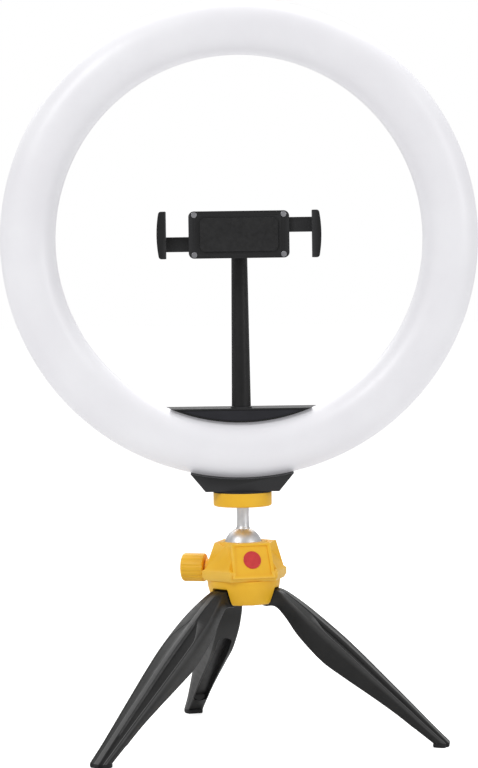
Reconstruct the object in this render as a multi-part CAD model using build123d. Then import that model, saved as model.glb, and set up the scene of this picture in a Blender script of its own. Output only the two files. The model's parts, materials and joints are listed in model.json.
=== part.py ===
from build123d import *
import os
from math import cos, radians, sin, sqrt

os.makedirs("parts", exist_ok=True)

# Ring light on a folding table tripod, in millimetres.
# The lamp faces -Y, +Z is up and the feet stand on z = 0.

# ---- driving dimensions: lamp ----
RING_OUTER_R = 130.0
RING_INNER_R = 100.0
RING_MID_R = (RING_OUTER_R + RING_INNER_R) / 2
RING_CENTRE_Z = 275.4
DIFFUSER_FRONT = -14.0
DIFFUSER_SIDE = -2.0
SEAM_Y = 2.0
DIFFUSER_WALL = 2.0
SHELL_STEP = 2.5
SHELL_BACK = 13.0
BOX_BACK = 18.0
COVER_THICK = 2.0
WALL = 2.0
WEB_TOP = -92.0
WEB_FRONT = -8.0
WEB_PLATE_THICK = 1.8
BRACKET_BOTTOM = -137.0
BRACKET_FRONT = -12.0
BRACKET_HALF = 20.0
BOX_HALF = 46.0
BOX_SHOULDER = -105.6
RING_CLEAR = 0.3
SPAN_HALF = 60.0
SPAN_BOTTOM = -110.0
LED_BOARD_Y = 7.0
LED_BOARD_THICK = 1.6
LED_COUNT = 60
LED_SIZE = (3.5, 1.2, 2.8)
POST_COUNT = 6
CONTROL_BOARD_Y = 11.4
CONTROL_BOARD_THICK = 1.4
POST_R = 3.0
PEG_R = 2.6
LIP_INSET = 3.5
LIP_THICK = 1.6
LED_BOARD_INSET = 5.2
SHELL_ROUND = 3.0
HOUSING_SCREW_R = 1.1
HOUSING_SCREW_HOLE_R = 1.4
HOUSING_HEAD_R = 2.3
HOUSING_HEAD_HOLE_R = 2.6
HEAD_SINK = 1.2
INSERT_R = 4.5
STEM_SCREW_R = 1.58
BUTTON_R = 4.0
BUTTON_STEM_R = 1.4
BUTTON_Z = -112.0
BUTTON_X = {"power": -24.0, "mode": -8.0, "brighter": 8.0, "dimmer": 24.0}
BUTTON_PROUD = 0.8
SWITCH_TOP = 15.0
SWITCH_HALF = 3.0
SOCKET_Z = -127.0
SOCKET_HALF_WIDTH = 4.5
SOCKET_HALF_HEIGHT = 1.65
SOCKET_METAL = 0.35
COVER_SCREWS = [(-37.0, -95.5), (37.0, -95.5), (-13.5, -132.6), (13.5, -132.6)]
COVER_POST_R = 2.7
COVER_SCREW_R = 0.9
COVER_HEAD_R = 1.9
COVER_MARGIN = 1.0

# ---- driving dimensions: phone holder ----
STEM_Y = -2.5
STEM_BASE_R = 5.25
STEM_TOP_R = 4.3
HOLDER_Y = STEM_Y - 6.5
HOLDER_Z = 2.4
BALL_R = 6.0
LINER_IN_R = 6.2
LINER_OUT_R = 7.6
CUP_R = 7.9
NUT_R = 10.6
NUT_GRIPS = 18
CUP_BODY_R = 9.6
NUT_THREAD_R = 9.0
STUB_R = 2.6
CLAMP_REAR = 12.0
CLAMP_THICK = 6.0
CLAMP_HALF = 27.0
CLAMP_CORNER = 3.0
CLAMP_COVER_THICK = 2.0
CLAMP_SCREW_R = 0.8
DISC_R = 6.0
DISC_THICK = 1.6
JAW_GAP = 78.2
JAW_THICK = 4.7
JAW_HALF_HEIGHT = 12.65
JAW_FRONT = 33.5
PAD_THICK = 1.3
ARM_HEIGHT = 8.0
ARM_THICK = 2.8
ARM_INNER_X = 2.0
JAW_BOW = 1.2
SPRING_R = 1.35
SPRING_BORE_R = 0.85

# ---- driving dimensions: ball head ----
COLLAR_R = 15.95
COLLAR_TOP = 137.4
COLLAR_BOTTOM = 129.8
COLLAR_PAD_TOP = RING_CENTRE_Z + BRACKET_BOTTOM
STUD_STEM_R = 3.4
STUD_THREAD_R = 3.175
STUD_THREAD_TOP = 143.6
HEAD_BALL_R = 10.35
HEAD_BALL_Z = 107.6
FIT = 0.05
SNUG = 0.02
CLEAR = 0.3

# ---- driving dimensions: tripod ----
TRIPOD_YAW = 16.0
HOUSING_TOP = 110.4
HOUSING_BOTTOM = 89.9
PANEL_BOTTOM = 91.6
PANEL_LOW_APOTHEM = 20.2
PANEL_HIGH_APOTHEM = 13.4
PANEL_LOW_HALF = 11.8
PANEL_HIGH_HALF = 11.0
PANEL_PROUD = 1.0
PANEL_RIM = 1.8
PANEL_RECESS = 0.6
BADGE_R = 4.9
BELT_TOP = 95.2
SEAT_R = 11.0
SEAT_BOTTOM = 94.8
SEAT_TOP = 103.0
HUB_POST_TOP = 94.5
TAB_BOTTOM = 76.6
SLOT_TOP = 85.5
SLOT_WIDTH = 10.4
SLOT_FLARE = 12.0
LUG_WIDTH = 9.8
LUG_R = 5.0
PIVOT_R = 13.5
PIVOT_Z = 80.2
PIN_R = 1.5
PIN_LENGTH = 17.0
HUB_SCREW_R = 13.6
HUB_SCREW_SEAT = TAB_BOTTOM + 3.0
HUB_SHANK_R = 1.22
HUB_HEAD_R = 2.2
HUB_POST_R = 8.0
CLAMP_Z = 95.6
CLAMP_AZIMUTH = -120.0
KNOB_R = 7.75
KNOB_START = 21.5
KNOB_END = 34.3
KNOB_GRIPS = 16
CLAMP_BOLT_R = 2.5
CLAMP_NUT_R = 3.6
CLAMP_PAD_R = 2.2
BOLT_TIP = 14.4
BOSS_R = 4.8
FOOT_REACH = 113.2
FOOT_LENGTH = 8.3
FOOT_PEG_IN = 4.9
FOOT_PEG_HEIGHT = 1.8
FOOT_HALF_WIDTH = 5.5
FOOT_PAD_TOP = 2.4
FOOT_PEG_R = 2.0
FOOT_CHAMFER = 1.6
FOOT_ROUND = 2.0
LEG_AZIMUTHS = {"right": 60.0, "left": -60.0, "rear": 180.0}
TAB_AZIMUTHS = (0.0, 120.0, 240.0)

# The tripod axis is set back so that the feet's span is centred on the origin.
FOOT_BACK = FOOT_REACH * cos(radians(TRIPOD_YAW)) + FOOT_HALF_WIDTH * sin(radians(TRIPOD_YAW))
FRONT_ANGLE = radians(60.0 - TRIPOD_YAW)
FOOT_FRONT = FOOT_REACH * cos(FRONT_ANGLE) + FOOT_HALF_WIDTH * sin(FRONT_ANGLE)
AXIS_Y = (FOOT_FRONT - FOOT_BACK) / 2


def write(shape, name):
    """Export one node; a group of separate solids becomes a compound."""
    solids = shape.solids()
    shape = solids[0] if len(solids) == 1 else Compound(children=list(solids))
    shape.label = name
    export_step(shape, "parts/" + name + ".step")


def lamp(shape):
    """Place a piece modelled about the ring's centre."""
    return Pos(0, AXIS_Y, RING_CENTRE_Z) * shape


def tripod(shape):
    """Place a piece modelled about the tripod's axis."""
    return Pos(0, AXIS_Y, 0) * Rot(0, 0, TRIPOD_YAW) * shape


def head(shape):
    """Place a piece modelled about the tripod's axis that doesn't share its yaw."""
    return Pos(0, AXIS_Y, 0) * shape


def turned(shape, azimuth):
    """Turn a piece modelled towards -Y to its azimuth about Z."""
    return Rot(0, 0, azimuth) * shape


def rod_z(radius, low, high, x=0.0, y=0.0):
    return Pos(x, y, (low + high) / 2) * Cylinder(radius, high - low)


def rod_y(radius, low, high, x=0.0, z=0.0):
    return Pos(x, (low + high) / 2, z) * Rot(90, 0, 0) * Cylinder(radius, high - low)


def rod_x(radius, low, high, y=0.0, z=0.0):
    return Pos((low + high) / 2, y, z) * Rot(0, 90, 0) * Cylinder(radius, high - low)


def block(low, high):
    """A box between two corners."""
    size = [b - a for a, b in zip(low, high)]
    centre = [(a + b) / 2 for a, b in zip(low, high)]
    return Pos(*centre) * Box(*size)


def prism_y(points, low, high):
    """A prism with an outline in X and Z, between two values of y."""
    plane = Plane((0, high, 0), x_dir=(1, 0, 0), z_dir=(0, -1, 0))
    return extrude(plane * Polygon(*points, align=None), amount=high - low, dir=(0, -1, 0))


def turned_z(points):
    """A solid of revolution about Z from points (radius, z)."""
    plane = Plane((0, 0, 0), x_dir=(1, 0, 0), z_dir=(0, -1, 0))
    return revolve(plane * Polygon(*points, align=None), axis=Axis.Z)


def turned_y(points):
    """A solid of revolution about Y from points (radius, y)."""
    return revolve(Polygon(*points, align=None), axis=Axis.Y)


def ring_y(inner, outer, low, high):
    return rod_y(outer, low, high) - rod_y(inner, low - 1, high + 1)


def on_ring(radius, angle):
    """x and z at an angle measured from the ring's top."""
    return radius * sin(radians(angle)), radius * cos(radians(angle))


POST_ANGLES = [30 + 360 / POST_COUNT * i for i in range(POST_COUNT)]


# ---- lamp ----
def make_front_diffuser():
    def dome(half_width, depth):
        centre = (RING_MID_R, DIFFUSER_SIDE)
        return EllipticalCenterArc(centre, half_width, depth, start_angle=180, arc_size=180)

    half = (RING_OUTER_R - RING_INNER_R) / 2
    depth = DIFFUSER_SIDE - DIFFUSER_FRONT
    back = Polyline(
        (RING_OUTER_R, DIFFUSER_SIDE), (RING_OUTER_R, SEAM_Y),
        (RING_INNER_R, SEAM_Y), (RING_INNER_R, DIFFUSER_SIDE),
    )
    outer = make_face([dome(half, depth), back])
    inner_half = half - DIFFUSER_WALL
    lip = half - LIP_INSET
    lip_y = SEAM_Y - LIP_THICK
    open_y = SEAM_Y + 1
    mouth = Polyline(
        (RING_MID_R + inner_half, DIFFUSER_SIDE),
        (RING_MID_R + inner_half, lip_y),
        (RING_MID_R + lip, lip_y),
        (RING_MID_R + lip, open_y),
        (RING_MID_R - lip, open_y),
        (RING_MID_R - lip, lip_y),
        (RING_MID_R - inner_half, lip_y),
        (RING_MID_R - inner_half, DIFFUSER_SIDE),
    )
    hollow = make_face([dome(inner_half, depth - DIFFUSER_WALL), mouth])
    shell = revolve(outer, axis=Axis.Y) - revolve(hollow, axis=Axis.Y)
    for angle in POST_ANGLES:
        x, z = on_ring(RING_MID_R, angle)
        shell += rod_y(PEG_R, DIFFUSER_FRONT + 1.2, LED_BOARD_Y - 0.1, x, z)
    for angle in POST_ANGLES:
        x, z = on_ring(RING_MID_R, angle)
        shell -= rod_y(HOUSING_SCREW_R + SNUG, -4.0, LED_BOARD_Y + 1, x, z)
    return shell


def box_outline(inset):
    """Half-outline of the control box, from its top edge down to the bracket's foot."""
    slope = (BOX_HALF - BRACKET_HALF) / (BOX_SHOULDER - BRACKET_BOTTOM)
    side = inset * sqrt(1 + slope * slope)
    top = WEB_TOP - inset
    bottom = BRACKET_BOTTOM + inset
    foot = BRACKET_HALF + slope * inset - side
    shoulder = BOX_SHOULDER - (side - inset) / slope
    half = BOX_HALF - inset
    return [(-half, top), (half, top), (half, shoulder), (foot, bottom), (-foot, bottom), (-half, shoulder)]


def below(top):
    """The corners of a wide block of outline that reaches down from `top` past the box's shoulder."""
    return [(-SPAN_HALF, top), (SPAN_HALF, top), (SPAN_HALF, SPAN_BOTTOM), (-SPAN_HALF, SPAN_BOTTOM)]


def web_segment(inset, radius):
    """The web's front plate: a segment of a disc, `inset` below the web's top edge."""
    back = WEB_FRONT + WEB_PLATE_THICK
    return prism_y(below(WEB_TOP - inset), WEB_FRONT, back) & rod_y(radius, WEB_FRONT, back)


def make_rear_housing():
    inner = RING_INNER_R + SHELL_STEP
    outer = RING_OUTER_R - SHELL_STEP
    shell = ring_y(inner, outer, SEAM_Y, SHELL_BACK)
    rim = shell.edges().filter_by(GeomType.CIRCLE).filter_by(lambda e: abs(e.center().Y - SHELL_BACK) < 0.01)
    shell = fillet(rim, SHELL_ROUND)
    shell += prism_y(box_outline(0), SEAM_Y, BOX_BACK)
    web = prism_y(below(WEB_TOP), WEB_FRONT, SEAM_Y)
    shell += web & rod_y(RING_INNER_R - RING_CLEAR, WEB_FRONT, SEAM_Y)
    foot = prism_y(box_outline(0), BRACKET_FRONT, SEAM_Y)
    foot &= block((-SPAN_HALF, BRACKET_FRONT, BRACKET_BOTTOM), (SPAN_HALF, SEAM_Y, SPAN_BOTTOM))
    shell += foot - rod_y(RING_OUTER_R + RING_CLEAR, BRACKET_FRONT - 1, SEAM_Y)
    shell -= ring_y(inner + WALL, outer - WALL, SEAM_Y - 0.5, SHELL_BACK - WALL)
    shell -= prism_y(box_outline(WALL), SEAM_Y + WALL, BOX_BACK - COVER_THICK)
    shell -= prism_y(box_outline(COVER_MARGIN), BOX_BACK - COVER_THICK, BOX_BACK + 1)
    inside = SEAM_Y + 3.0
    hollow = prism_y(below(WEB_TOP - WALL), WEB_FRONT, inside)
    shell -= hollow & rod_y(RING_INNER_R - RING_CLEAR - WALL, WEB_FRONT, inside)
    shell -= web_segment(1.0, RING_INNER_R - 1.2)
    for x, z in COVER_SCREWS:
        shell += rod_y(COVER_POST_R, SEAM_Y + WALL, BOX_BACK - COVER_THICK, x, z)
    for x, z in COVER_SCREWS:
        shell -= rod_y(COVER_SCREW_R + SNUG, BOX_BACK - 9, BOX_BACK - 1, x, z)
    for angle in POST_ANGLES:
        x, z = on_ring(RING_MID_R, angle)
        shell += rod_y(POST_R, LED_BOARD_Y + LED_BOARD_THICK, SHELL_BACK - 1, x, z)
    for angle in POST_ANGLES:
        x, z = on_ring(RING_MID_R, angle)
        shell -= rod_y(HOUSING_SCREW_HOLE_R, SEAM_Y, SHELL_BACK + 1, x, z)
        shell -= rod_y(HOUSING_HEAD_HOLE_R, SHELL_BACK - HEAD_SINK, SHELL_BACK + 1, x, z)
    shell -= rod_z(INSERT_R + SNUG, BRACKET_BOTTOM - 1, -RING_OUTER_R - 1.2)
    shell -= rod_z(2.1, WEB_TOP - 3, WEB_TOP + 1, 0, STEM_Y)
    return shell


def make_led_board():
    inner, outer = RING_INNER_R + LED_BOARD_INSET, RING_OUTER_R - LED_BOARD_INSET
    board = ring_y(inner, outer, LED_BOARD_Y, LED_BOARD_Y + LED_BOARD_THICK)
    for angle in POST_ANGLES:
        x, z = on_ring(RING_MID_R, angle)
        board -= rod_y(HOUSING_SCREW_HOLE_R, 0, 20, x, z)
    return board


def make_leds():
    chips = []
    wide, deep, tall = LED_SIZE
    for i in range(LED_COUNT):
        angle = 360 / LED_COUNT * (i + 0.5)
        x, z = on_ring(RING_MID_R, angle)
        chips.append(Pos(x, LED_BOARD_Y - deep / 2, z) * Rot(0, angle, 0) * Box(wide, deep, tall))
    return Compound(children=chips)


def make_web_plate():
    return web_segment(1.1, RING_INNER_R - 1.3)


def make_control_cover():
    cover = prism_y(box_outline(COVER_MARGIN + 0.15), BOX_BACK - COVER_THICK, BOX_BACK)
    for x in BUTTON_X.values():
        cover -= rod_y(BUTTON_R + CLEAR, 0, 30, x, BUTTON_Z)
    for x, z in COVER_SCREWS:
        cover -= rod_y(COVER_SCREW_R + CLEAR, 0, 30, x, z)
        cover -= rod_y(COVER_HEAD_R + 0.2, BOX_BACK - 1.0, 30, x, z)
    half_width, half_height = SOCKET_HALF_WIDTH + 0.4, SOCKET_HALF_HEIGHT + 0.35
    return cover - block((-half_width, 0, SOCKET_Z - half_height), (half_width, 30, SOCKET_Z + half_height))


def make_control_board():
    board = prism_y(box_outline(WALL + 0.6), CONTROL_BOARD_Y, CONTROL_BOARD_Y + CONTROL_BOARD_THICK)
    for x, z in COVER_SCREWS:
        board -= rod_y(COVER_POST_R + CLEAR, 0, 30, x, z)
    return board


def make_tact_switches():
    base = CONTROL_BOARD_Y + CONTROL_BOARD_THICK
    switches = []
    for x in BUTTON_X.values():
        low = (x - SWITCH_HALF, base, BUTTON_Z - SWITCH_HALF)
        case = block(low, (x + SWITCH_HALF, base + 1.5, BUTTON_Z + SWITCH_HALF))
        switches.append(case + rod_y(1.6, base + 1.0, SWITCH_TOP, x, BUTTON_Z))
    return Compound(children=[s.solids()[0] for s in switches])


def make_usb_socket():
    base = CONTROL_BOARD_Y + CONTROL_BOARD_THICK
    width, height = SOCKET_HALF_WIDTH, SOCKET_HALF_HEIGHT
    shell = block((-width, base, SOCKET_Z - height), (width, BOX_BACK, SOCKET_Z + height))
    width, height = width - SOCKET_METAL, height - SOCKET_METAL
    shell -= block((-width, base + 0.8, SOCKET_Z - height), (width, BOX_BACK + 1, SOCKET_Z + height))
    return shell + block((-3.3, base, SOCKET_Z - 0.35), (3.3, BOX_BACK - 0.8, SOCKET_Z + 0.35))


def make_button(x):
    stem = rod_y(BUTTON_STEM_R, SWITCH_TOP + 0.6, BOX_BACK, x, BUTTON_Z)
    flange = rod_y(BUTTON_R, BOX_BACK - COVER_THICK, BOX_BACK + BUTTON_PROUD, x, BUTTON_Z)
    rim = flange.edges().filter_by(lambda e: e.center().Y > BOX_BACK + 0.5).filter_by(GeomType.CIRCLE)
    return fillet(rim, 0.4) + stem


def make_cover_screws():
    screws = []
    for x, z in COVER_SCREWS:
        screw = rod_y(COVER_SCREW_R, BOX_BACK - 8.5, BOX_BACK - 0.6, x, z)
        screw += rod_y(COVER_HEAD_R, BOX_BACK - 1.0, BOX_BACK, x, z)
        screws.append((screw - cross_recess(x, z, BOX_BACK, 2.0)).solids()[0])
    return Compound(children=screws)


def cross_recess(x, z, face, size):
    """A cross slot 0.6 mm deep in a screw head that faces +Y."""
    half = size / 2
    level = block((x - half, face - 0.6, z - 0.25), (x + half, face + 1, z + 0.25))
    return level + block((x - 0.25, face - 0.6, z - half), (x + 0.25, face + 1, z + half))


def make_housing_screws():
    screws = []
    for angle in POST_ANGLES:
        x, z = on_ring(RING_MID_R, angle)
        screw = rod_y(HOUSING_SCREW_R, -3.0, SHELL_BACK - 0.8, x, z)
        screw += rod_y(HOUSING_HEAD_R, SHELL_BACK - HEAD_SINK, SHELL_BACK, x, z)
        screws.append((screw - cross_recess(x, z, SHELL_BACK, 2.4)).solids()[0])
    return Compound(children=screws)


def make_thread_insert():
    insert = rod_z(INSERT_R, BRACKET_BOTTOM, -RING_OUTER_R - 1.4)
    return insert - rod_z(STUD_THREAD_R + FIT, BRACKET_BOTTOM - 1, -RING_OUTER_R - 1.0)


# ---- phone holder, about the ring's centre ----
def make_stem_post():
    neck = HOLDER_Z - 7.0
    post = turned_z([
        (0, WEB_TOP), (STEM_BASE_R + 0.5, WEB_TOP), (STEM_BASE_R + 0.5, WEB_TOP + 0.8),
        (STEM_BASE_R, WEB_TOP + 1.0), (STEM_TOP_R, neck), (0, neck),
    ])
    post = Pos(0, STEM_Y, 0) * post
    cup = rod_y(CUP_BODY_R, HOLDER_Y - 0.4, STEM_Y + 5.0, 0, HOLDER_Z)
    back = cup.edges().filter_by(GeomType.CIRCLE).filter_by(lambda e: e.center().Y > STEM_Y + 4)
    cup = fillet(back, 2.5)
    cup += rod_y(NUT_THREAD_R, HOLDER_Y - 3.0, HOLDER_Y, 0, HOLDER_Z)
    post += cup
    post -= Pos(0, HOLDER_Y, HOLDER_Z) * Sphere(CUP_R)
    return post - rod_z(STEM_SCREW_R + SNUG, WEB_TOP - 1, WEB_TOP + 12, 0, STEM_Y)


def make_stem_screw():
    shank = rod_z(STEM_SCREW_R, WEB_TOP - 3, WEB_TOP + 11, 0, STEM_Y)
    return shank + rod_z(3.0, WEB_TOP - 3.6, WEB_TOP - WALL, 0, STEM_Y)


def make_socket_liner():
    shell = Sphere(LINER_OUT_R) - Sphere(LINER_IN_R)
    keep = block((-10, -2.8, -10), (10, 5.0, 10))
    return Pos(0, HOLDER_Y, HOLDER_Z) * (shell & keep)


def make_lock_nut():
    nut = rod_y(NUT_R, -7.5, -0.7)
    ends = nut.edges().filter_by(GeomType.CIRCLE)
    nut = fillet(ends, 0.8)
    nut -= rod_y(NUT_THREAD_R + 0.08, -3.2, 0)
    nut -= Sphere(CUP_R)
    nut -= turned_y([(0, -4), (5.2, -4), (5.2, -5.9), (6.4, -8), (0, -8)])
    for i in range(NUT_GRIPS):
        angle = radians(360 / NUT_GRIPS * i)
        nut -= rod_y(0.8, -8, 0, (NUT_R + 0.35) * cos(angle), (NUT_R + 0.35) * sin(angle))
    return Pos(0, HOLDER_Y, HOLDER_Z) * nut


def make_clamp_ball():
    stud = Sphere(BALL_R) + rod_y(STUB_R, -CLAMP_REAR - 0.5, -4)
    stud += rod_y(DISC_R, -CLAMP_REAR - DISC_THICK, -CLAMP_REAR)
    return Pos(0, HOLDER_Y, HOLDER_Z) * stud


def holder(shape):
    """Place a clamp piece modelled about the holder's ball."""
    return lamp(Pos(0, HOLDER_Y, HOLDER_Z) * shape)


CLAMP_FRONT = CLAMP_REAR + CLAMP_THICK
CLAMP_SCREWS = [(-24, 10.7), (24, 10.7), (-24, -10.7), (24, -10.7)]
CHANNEL_LOW = 0.7
CHANNEL_HIGH = CHANNEL_LOW + ARM_HEIGHT + 0.6
SPRING_FAR_X = 25.0


def make_clamp_back():
    body = block((-CLAMP_HALF, -CLAMP_FRONT, -JAW_HALF_HEIGHT), (CLAMP_HALF, -CLAMP_REAR, JAW_HALF_HEIGHT))
    body = fillet(body.edges().filter_by(Axis.Y), CLAMP_CORNER)
    for side in (1, -1):
        low, high = sorted((side * CHANNEL_LOW, side * CHANNEL_HIGH))
        body -= block((-30, -CLAMP_FRONT - 1, low), (30, -CLAMP_FRONT + 3.4, high))
    body -= rod_y(DISC_R + SNUG, -CLAMP_REAR - DISC_THICK, 0)
    for x, z in CLAMP_SCREWS:
        body -= rod_y(CLAMP_SCREW_R + SNUG, -CLAMP_FRONT - 1, -CLAMP_FRONT + 4.4, x, z)
    for side in (1, -1):
        z = side * (CHANNEL_LOW + CHANNEL_HIGH) / 2
        body += rod_y(1.0, -CLAMP_FRONT, -CLAMP_REAR - 2, -side * SPRING_FAR_X, z)
    return body


def make_clamp_cover():
    low = (-CLAMP_HALF, -CLAMP_FRONT - CLAMP_COVER_THICK, -JAW_HALF_HEIGHT)
    cover = block(low, (CLAMP_HALF, -CLAMP_FRONT, JAW_HALF_HEIGHT))
    cover = fillet(cover.edges().filter_by(Axis.Y), CLAMP_CORNER)
    for x, z in CLAMP_SCREWS:
        cover -= rod_y(1.0, -30, 0, x, z) + rod_y(1.7, -30, -CLAMP_FRONT - 1.2, x, z)
    return cover


def make_clamp_screws():
    screws = []
    head_y = -CLAMP_FRONT - 1.2
    for x, z in CLAMP_SCREWS:
        screw = rod_y(CLAMP_SCREW_R, head_y, -CLAMP_FRONT + 4, x, z)
        screw += rod_y(2 * CLAMP_SCREW_R, head_y - 0.8, head_y, x, z)
        screws.append(screw.solids()[0])
    return Compound(children=screws)


def make_back_pad():
    face = -CLAMP_FRONT - CLAMP_COVER_THICK
    pad = block((-21, face - 1.4, -9), (21, face, 9))
    return fillet(pad.edges().filter_by(Axis.Y), CLAMP_CORNER)


def make_jaw(side):
    """One jaw: a finger beside the phone and an arm that slides in the clamp."""
    inner = JAW_GAP / 2
    outer = inner + JAW_THICK
    bow = JAW_HALF_HEIGHT * JAW_HALF_HEIGHT / (2 * JAW_BOW)
    face = block((inner, -JAW_FRONT, -JAW_HALF_HEIGHT), (outer, -CLAMP_FRONT + 3.2, JAW_HALF_HEIGHT))
    finger = face & rod_y(bow, -60, 0, outer - bow)
    finger = fillet(finger.edges().filter_by(Axis.Y).sort_by(Axis.X)[-2:], 1.6)
    finger -= block((inner - 1, -JAW_FRONT + 2, -20), (inner + PAD_THICK, -CLAMP_FRONT - 4, 20))
    low = CHANNEL_LOW + 0.3
    arm_y = -CLAMP_FRONT + 0.3
    arm = block((-ARM_INNER_X, arm_y, low), (inner + 2, arm_y + ARM_THICK, low + ARM_HEIGHT))
    arm -= block((-ARM_INNER_X - 1, -30, low + 2.4), (-ARM_INNER_X + 3, 0, low + 5.6))
    arm += rod_z(0.7, low, low + ARM_HEIGHT, -ARM_INNER_X + 2, -CLAMP_FRONT + 1.7)
    jaw = finger + arm
    return jaw if side > 0 else Rot(0, 180, 0) * jaw


def make_jaw_pad(side):
    inner = JAW_GAP / 2
    half = JAW_HALF_HEIGHT - 0.8
    pad = block((inner, -JAW_FRONT + 2, -half), (inner + PAD_THICK, -CLAMP_FRONT - 4, half))
    return pad if side > 0 else Rot(0, 180, 0) * pad


def make_spring(side):
    """The tension spring between an arm's crossbar and the clamp's fixed peg, as its closed tube of coils."""
    z = (CHANNEL_LOW + CHANNEL_HIGH) / 2
    y = -CLAMP_FRONT + 1.7
    tube = rod_x(SPRING_R, -SPRING_FAR_X + 2.2, -ARM_INNER_X - 1.0, y, z)
    tube -= rod_x(SPRING_BORE_R, -SPRING_FAR_X, 0, y, z)
    return tube if side > 0 else Rot(0, 180, 0) * tube


# ---- ball head, about the tripod's axis ----
def make_ball_stud():
    stem = turned_z([
        (0, HEAD_BALL_Z), (STUD_STEM_R + 0.5, HEAD_BALL_Z), (STUD_STEM_R + 0.5, HEAD_BALL_Z + 9.8),
        (STUD_STEM_R, HEAD_BALL_Z + 11), (STUD_STEM_R - 0.15, HEAD_BALL_Z + 17),
        (STUD_STEM_R, COLLAR_BOTTOM - 2), (STUD_STEM_R, COLLAR_TOP), (STUD_THREAD_R, COLLAR_TOP),
        (STUD_THREAD_R, STUD_THREAD_TOP - 0.6), (STUD_THREAD_R - 0.6, STUD_THREAD_TOP), (0, STUD_THREAD_TOP),
    ])
    return stem + Pos(0, 0, HEAD_BALL_Z) * Sphere(HEAD_BALL_R)


def make_top_collar():
    collar = rod_z(COLLAR_R, COLLAR_BOTTOM, COLLAR_TOP)
    collar = fillet(collar.edges().filter_by(GeomType.CIRCLE).sort_by(Axis.Z)[:1], 1.2)
    return collar - rod_z(STUD_STEM_R + SNUG, COLLAR_BOTTOM - 1, COLLAR_TOP + 1)


def make_collar_pad():
    pad = rod_z(COLLAR_R - 0.15, COLLAR_TOP, COLLAR_PAD_TOP - 0.05)
    return pad - rod_z(STUD_THREAD_R + 0.2, COLLAR_TOP - 1, COLLAR_PAD_TOP + 1)


def make_ball_seat():
    seat = rod_z(SEAT_R, SEAT_BOTTOM, SEAT_TOP)
    seat -= Pos(0, 0, HEAD_BALL_Z) * Sphere(HEAD_BALL_R + CLEAR)
    return seat - rod_z(2.0, SEAT_BOTTOM - 1, SEAT_TOP)


# ---- tripod, about its own axis with one tab towards -Y ----
def hexagon(main, side, z):
    """Six-sided outline with apothem `main` towards the tabs and `side` towards the legs."""
    half = (side - main / 2) / sin(radians(60))
    points = []
    for azimuth in TAB_AZIMUTHS:
        for edge in (-half, half):
            a = radians(azimuth)
            points.append((main * sin(a) + edge * cos(a), -main * cos(a) + edge * sin(a)))
    return Pos(0, 0, z) * Polygon(*points, align=None)


def panel_plane(share, proud):
    """The sloping plate's own plane, `share` of the way up it and `proud` of its base face."""
    low = Vector(0, -PANEL_LOW_APOTHEM, PANEL_BOTTOM)
    high = Vector(0, -PANEL_HIGH_APOTHEM, HOUSING_TOP)
    out = Vector(1, 0, 0).cross(high - low).normalized()
    return Plane(origin=low + (high - low) * share + out * proud, x_dir=(1, 0, 0), z_dir=out)


def panel_solid(margin, proud, depth):
    """The sloping plate on a main face, `margin` inside its outline."""
    length = sqrt((HOUSING_TOP - PANEL_BOTTOM) ** 2 + (PANEL_LOW_APOTHEM - PANEL_HIGH_APOTHEM) ** 2)
    plane = panel_plane(0, proud)
    low_half, high_half = PANEL_LOW_HALF - margin, PANEL_HIGH_HALF - margin
    top = length - margin
    corners = [(-low_half, margin), (low_half, margin), (high_half, top), (-high_half, top)]
    return extrude(plane * Polygon(*corners, align=None), amount=depth, dir=tuple(plane.z_dir * -1))


def make_head_housing():
    sections = [
        hexagon(18.9, 20.4, HOUSING_BOTTOM),
        hexagon(20.0, 21.6, PANEL_BOTTOM + 0.4),
        hexagon(20.0, 21.6, BELT_TOP),
        hexagon(17.4, 20.4, BELT_TOP + 1.5),
        hexagon(12.2, 11.7, HOUSING_TOP),
    ]
    body = loft(sections, ruled=True)
    body += turned(panel_solid(0, 0, 6.5), CLAMP_AZIMUTH)
    for azimuth in TAB_AZIMUTHS[:2]:
        body += turned(panel_solid(0, PANEL_PROUD, 7.5), azimuth)
        body -= turned(panel_solid(PANEL_RIM, PANEL_PROUD + 1, PANEL_RECESS + 1), azimuth)
    body &= rod_z(40, HOUSING_BOTTOM, HOUSING_TOP)
    body += turned(rod_y(BOSS_R, -20.9, -15, 0, CLAMP_Z), CLAMP_AZIMUTH)
    body -= rod_z(SEAT_R + CLEAR, HOUSING_BOTTOM - 1, SEAT_TOP)
    body -= rod_z(HEAD_BALL_R + CLEAR, SEAT_TOP - 1, HEAD_BALL_Z)
    body -= Pos(0, 0, HEAD_BALL_Z) * Sphere(HEAD_BALL_R + CLEAR)
    bore = rod_y(CLAMP_NUT_R + SNUG, -30, -15.0, 0, CLAMP_Z) + rod_y(2.6, -16, -10, 0, CLAMP_Z)
    body -= turned(bore, CLAMP_AZIMUTH)
    for azimuth in TAB_AZIMUTHS:
        pilot = rod_z(HUB_SHANK_R + 0.03, HOUSING_BOTTOM - 1, HOUSING_BOTTOM + 2.9, 0, -HUB_SCREW_R)
        body -= turned(pilot, azimuth)
    return body


def make_front_badge():
    plane = panel_plane(0.52, PANEL_PROUD - PANEL_RECESS)
    return extrude(plane * Circle(BADGE_R), amount=0.45, dir=tuple(plane.z_dir))


def leg_slot():
    """The space between two tabs, wider below."""
    high, low = SLOT_WIDTH / 2, SLOT_FLARE / 2
    outline = [(-high, SLOT_TOP), (high, SLOT_TOP), (low, TAB_BOTTOM - 1), (-low, TAB_BOTTOM - 1)]
    return prism_y(outline, -30, -(PIVOT_R - LUG_R - 0.8))


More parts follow.
